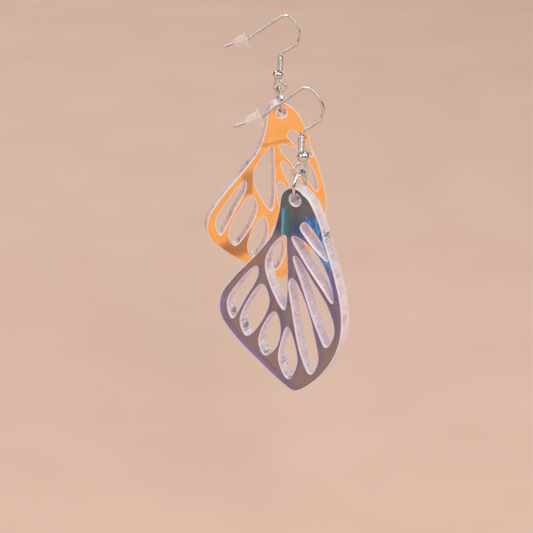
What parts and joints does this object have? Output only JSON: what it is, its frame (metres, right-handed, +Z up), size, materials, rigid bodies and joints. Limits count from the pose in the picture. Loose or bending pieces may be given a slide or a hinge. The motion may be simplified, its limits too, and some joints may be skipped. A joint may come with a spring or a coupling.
{
  "type": "wing drop earrings",
  "caption": "Drop earrings: iridescent acrylic butterfly wings with vein cut-outs, each swinging on a jump ring from a fish-hook ear wire with a stopper.",
  "frame": {"origin": "the underside of the front ear wire's arch, where the front earring rests on what it hangs from", "axes": "+Z up, +Y from the front earring to the rear one, +X to the right of someone who faces the front earring and looks along +Y"},
  "size_m": [0.0297, 0.0696, 0.066],
  "materials": {
    "polished_steel": "polished",
    "clear_acrylic": "glossy faces, frosted cut edges",
    "mauve_film": "iridescent, teal and blue at the top, mauve below",
    "amber_film": "iridescent, orange",
    "silicone": "clear, satin"
  },
  "bodies": {
    "front_hook": {"front_ear_wire": "polished_steel"},
    "front_coil": {"front_coil": "polished_steel"},
    "front_bead": {"front_bead": "polished_steel"},
    "front_ring": {"front_jump_ring": "polished_steel"},
    "front_wing": {"front_wing_panel": "clear_acrylic", "front_wing_film": "mauve_film"},
    "front_stopper": {"front_stopper": "silicone"},
    "rear_hook": {"rear_ear_wire": "polished_steel"},
    "rear_coil": {"rear_coil": "polished_steel"},
    "rear_bead": {"rear_bead": "polished_steel"},
    "rear_ring": {"rear_jump_ring": "polished_steel"},
    "rear_wing": {"rear_wing_panel": "clear_acrylic", "rear_wing_film": "amber_film"},
    "rear_stopper": {"rear_stopper": "silicone"}
  },
  "joints": [
    {"name": "front_ring_swing", "type": "hinge", "parent": "front_hook", "child": "front_ring", "pos_m": [0, 0, -0.01775], "axis": [1, 0, 0], "range_deg": [-50, 50]},
    {"name": "front_wing_swing", "type": "hinge", "parent": "front_ring", "child": "front_wing", "pos_m": [0, 0, -0.02244], "axis": [-0.5736, -0.8192, 0], "range_deg": [-75, 75]},
    {"name": "front_stopper_slide", "type": "slide", "parent": "front_hook", "child": "front_stopper", "axis": [-0.9298, 0, -0.3681], "range_m": [0, 0.006]},
    {"name": "front_bead_spin", "type": "hinge", "parent": "front_hook", "child": "front_bead", "pos_m": [0.00049, 0, -0.01364], "axis": [-0.4067, 0, 0.9135], "continuous": true},
    {"name": "front_coil_spin", "type": "hinge", "parent": "front_hook", "child": "front_coil", "pos_m": [0, 0, -0.01086], "axis": [0, 0, 1], "continuous": true},
    {"name": "rear_lift", "type": "slide", "parent": "front_hook", "child": "rear_hook", "axis": [0, 0, 1], "range_m": [0, 0.03]},
    {"name": "rear_ring_swing", "type": "hinge", "parent": "rear_hook", "child": "rear_ring", "pos_m": [-0.00035, 0.0575, -0.01774], "axis": [1, 0, 0], "range_deg": [-50, 50]},
    {"name": "rear_wing_swing", "type": "hinge", "parent": "rear_ring", "child": "rear_wing", "pos_m": [-0.00003, 0.0575, -0.02242], "axis": [0.1908, -0.9816, 0], "range_deg": [-75, 75]},
    {"name": "rear_stopper_slide", "type": "slide", "parent": "rear_hook", "child": "rear_stopper", "axis": [-0.9432, 0, -0.3322], "range_m": [0, 0.006]},
    {"name": "rear_bead_spin", "type": "hinge", "parent": "rear_hook", "child": "rear_bead", "pos_m": [-0.00084, 0.0575, -0.01363], "axis": [0.4067, 0, 0.9135], "continuous": true},
    {"name": "rear_coil_spin", "type": "hinge", "parent": "rear_hook", "child": "rear_coil", "pos_m": [-0.00035, 0.0575, -0.01086], "axis": [0, 0, 1], "continuous": true}
  ]
}
